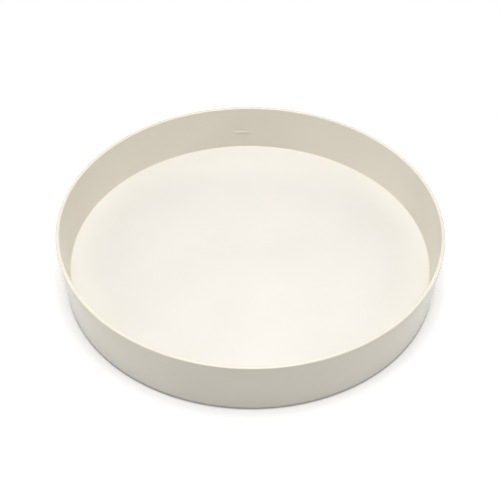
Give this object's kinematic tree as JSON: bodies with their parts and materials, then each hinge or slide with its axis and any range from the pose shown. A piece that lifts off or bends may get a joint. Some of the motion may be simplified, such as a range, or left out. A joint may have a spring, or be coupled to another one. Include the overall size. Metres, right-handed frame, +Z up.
{
  "type": "lazy susan turntable",
  "caption": "Round kitchen turntable: a cream plastic tray with a tall, slightly flared rim that spins on a hidden ball race over a footed base plate.",
  "frame": {"origin": "on the spin axis, in the plane that the feet stand on", "axes": "+Z up along the spin axis; the tray is round, and +X runs from the axis through the first foot and the first ball"},
  "size_m": [0.3, 0.3, 0.05],
  "materials": {
    "tray_plastic": "satin moulded cream",
    "base_plastic": "fine-textured moulded cream",
    "cage_plastic": "smooth moulded white",
    "bearing_steel": "polished",
    "zinc_steel": "zinc plated",
    "foot_rubber": "matt"
  },
  "bodies": {
    "base": {"base_plate": "base_plastic", "foot_pad_1": "foot_rubber", "foot_pad_2": "foot_rubber", "foot_pad_3": "foot_rubber", "foot_pad_4": "foot_rubber", "foot_pad_5": "foot_rubber", "foot_pad_6": "foot_rubber"},
    "tray": {"tray": "tray_plastic", "pivot_screw": "zinc_steel", "pivot_washer": "zinc_steel"},
    "ball_cage": {"ball_cage": "cage_plastic"},
    "ball_1": {"bearing_ball_1": "bearing_steel"},
    "ball_2": {"bearing_ball_2": "bearing_steel"},
    "ball_3": {"bearing_ball_3": "bearing_steel"},
    "ball_4": {"bearing_ball_4": "bearing_steel"},
    "ball_5": {"bearing_ball_5": "bearing_steel"},
    "ball_6": {"bearing_ball_6": "bearing_steel"},
    "ball_7": {"bearing_ball_7": "bearing_steel"},
    "ball_8": {"bearing_ball_8": "bearing_steel"},
    "ball_9": {"bearing_ball_9": "bearing_steel"},
    "ball_10": {"bearing_ball_10": "bearing_steel"},
    "ball_11": {"bearing_ball_11": "bearing_steel"},
    "ball_12": {"bearing_ball_12": "bearing_steel"},
    "ball_13": {"bearing_ball_13": "bearing_steel"},
    "ball_14": {"bearing_ball_14": "bearing_steel"},
    "ball_15": {"bearing_ball_15": "bearing_steel"},
    "ball_16": {"bearing_ball_16": "bearing_steel"}
  },
  "joints": [
    {"name": "tray_spin", "type": "hinge", "parent": "base", "child": "tray", "pos_m": [0, 0, 0], "axis": [0, 0, 1], "continuous": true},
    {"name": "cage_spin", "type": "hinge", "parent": "base", "child": "ball_cage", "pos_m": [0, 0, 0], "axis": [0, 0, 1], "continuous": true},
    {"name": "ball_roll_1", "type": "hinge", "parent": "ball_cage", "child": "ball_1", "pos_m": [0.08, 0, 0.0072], "axis": [1, 0, 0], "continuous": true},
    {"name": "ball_roll_2", "type": "hinge", "parent": "ball_cage", "child": "ball_2", "pos_m": [0.07391, 0.03061, 0.0072], "axis": [0.9239, 0.3827, 0], "continuous": true},
    {"name": "ball_roll_3", "type": "hinge", "parent": "ball_cage", "child": "ball_3", "pos_m": [0.05657, 0.05657, 0.0072], "axis": [0.7071, 0.7071, 0], "continuous": true},
    {"name": "ball_roll_4", "type": "hinge", "parent": "ball_cage", "child": "ball_4", "pos_m": [0.03061, 0.07391, 0.0072], "axis": [0.3827, 0.9239, 0], "continuous": true},
    {"name": "ball_roll_5", "type": "hinge", "parent": "ball_cage", "child": "ball_5", "pos_m": [0, 0.08, 0.0072], "axis": [0, 1, 0], "continuous": true},
    {"name": "ball_roll_6", "type": "hinge", "parent": "ball_cage", "child": "ball_6", "pos_m": [-0.03061, 0.07391, 0.0072], "axis": [-0.3827, 0.9239, 0], "continuous": true},
    {"name": "ball_roll_7", "type": "hinge", "parent": "ball_cage", "child": "ball_7", "pos_m": [-0.05657, 0.05657, 0.0072], "axis": [-0.7071, 0.7071, 0], "continuous": true},
    {"name": "ball_roll_8", "type": "hinge", "parent": "ball_cage", "child": "ball_8", "pos_m": [-0.07391, 0.03061, 0.0072], "axis": [-0.9239, 0.3827, 0], "continuous": true},
    {"name": "ball_roll_9", "type": "hinge", "parent": "ball_cage", "child": "ball_9", "pos_m": [-0.08, 0, 0.0072], "axis": [-1, 0, 0], "continuous": true},
    {"name": "ball_roll_10", "type": "hinge", "parent": "ball_cage", "child": "ball_10", "pos_m": [-0.07391, -0.03061, 0.0072], "axis": [-0.9239, -0.3827, 0], "continuous": true},
    {"name": "ball_roll_11", "type": "hinge", "parent": "ball_cage", "child": "ball_11", "pos_m": [-0.05657, -0.05657, 0.0072], "axis": [-0.7071, -0.7071, 0], "continuous": true},
    {"name": "ball_roll_12", "type": "hinge", "parent": "ball_cage", "child": "ball_12", "pos_m": [-0.03061, -0.07391, 0.0072], "axis": [-0.3827, -0.9239, 0], "continuous": true},
    {"name": "ball_roll_13", "type": "hinge", "parent": "ball_cage", "child": "ball_13", "pos_m": [0, -0.08, 0.0072], "axis": [0, -1, 0], "continuous": true},
    {"name": "ball_roll_14", "type": "hinge", "parent": "ball_cage", "child": "ball_14", "pos_m": [0.03061, -0.07391, 0.0072], "axis": [0.3827, -0.9239, 0], "continuous": true},
    {"name": "ball_roll_15", "type": "hinge", "parent": "ball_cage", "child": "ball_15", "pos_m": [0.05657, -0.05657, 0.0072], "axis": [0.7071, -0.7071, 0], "continuous": true},
    {"name": "ball_roll_16", "type": "hinge", "parent": "ball_cage", "child": "ball_16", "pos_m": [0.07391, -0.03061, 0.0072], "axis": [0.9239, -0.3827, 0], "continuous": true}
  ],
  "couplings": [
    {"joint": "cage_spin", "follows": "tray_spin", "ratio": 0.5},
    {"joint": "ball_roll_1", "follows": "tray_spin", "ratio": -13.333},
    {"joint": "ball_roll_2", "follows": "tray_spin", "ratio": -13.333},
    {"joint": "ball_roll_3", "follows": "tray_spin", "ratio": -13.333},
    {"joint": "ball_roll_4", "follows": "tray_spin", "ratio": -13.333},
    {"joint": "ball_roll_5", "follows": "tray_spin", "ratio": -13.333},
    {"joint": "ball_roll_6", "follows": "tray_spin", "ratio": -13.333},
    {"joint": "ball_roll_7", "follows": "tray_spin", "ratio": -13.333},
    {"joint": "ball_roll_8", "follows": "tray_spin", "ratio": -13.333},
    {"joint": "ball_roll_9", "follows": "tray_spin", "ratio": -13.333},
    {"joint": "ball_roll_10", "follows": "tray_spin", "ratio": -13.333},
    {"joint": "ball_roll_11", "follows": "tray_spin", "ratio": -13.333},
    {"joint": "ball_roll_12", "follows": "tray_spin", "ratio": -13.333},
    {"joint": "ball_roll_13", "follows": "tray_spin", "ratio": -13.333},
    {"joint": "ball_roll_14", "follows": "tray_spin", "ratio": -13.333},
    {"joint": "ball_roll_15", "follows": "tray_spin", "ratio": -13.333},
    {"joint": "ball_roll_16", "follows": "tray_spin", "ratio": -13.333}
  ]
}
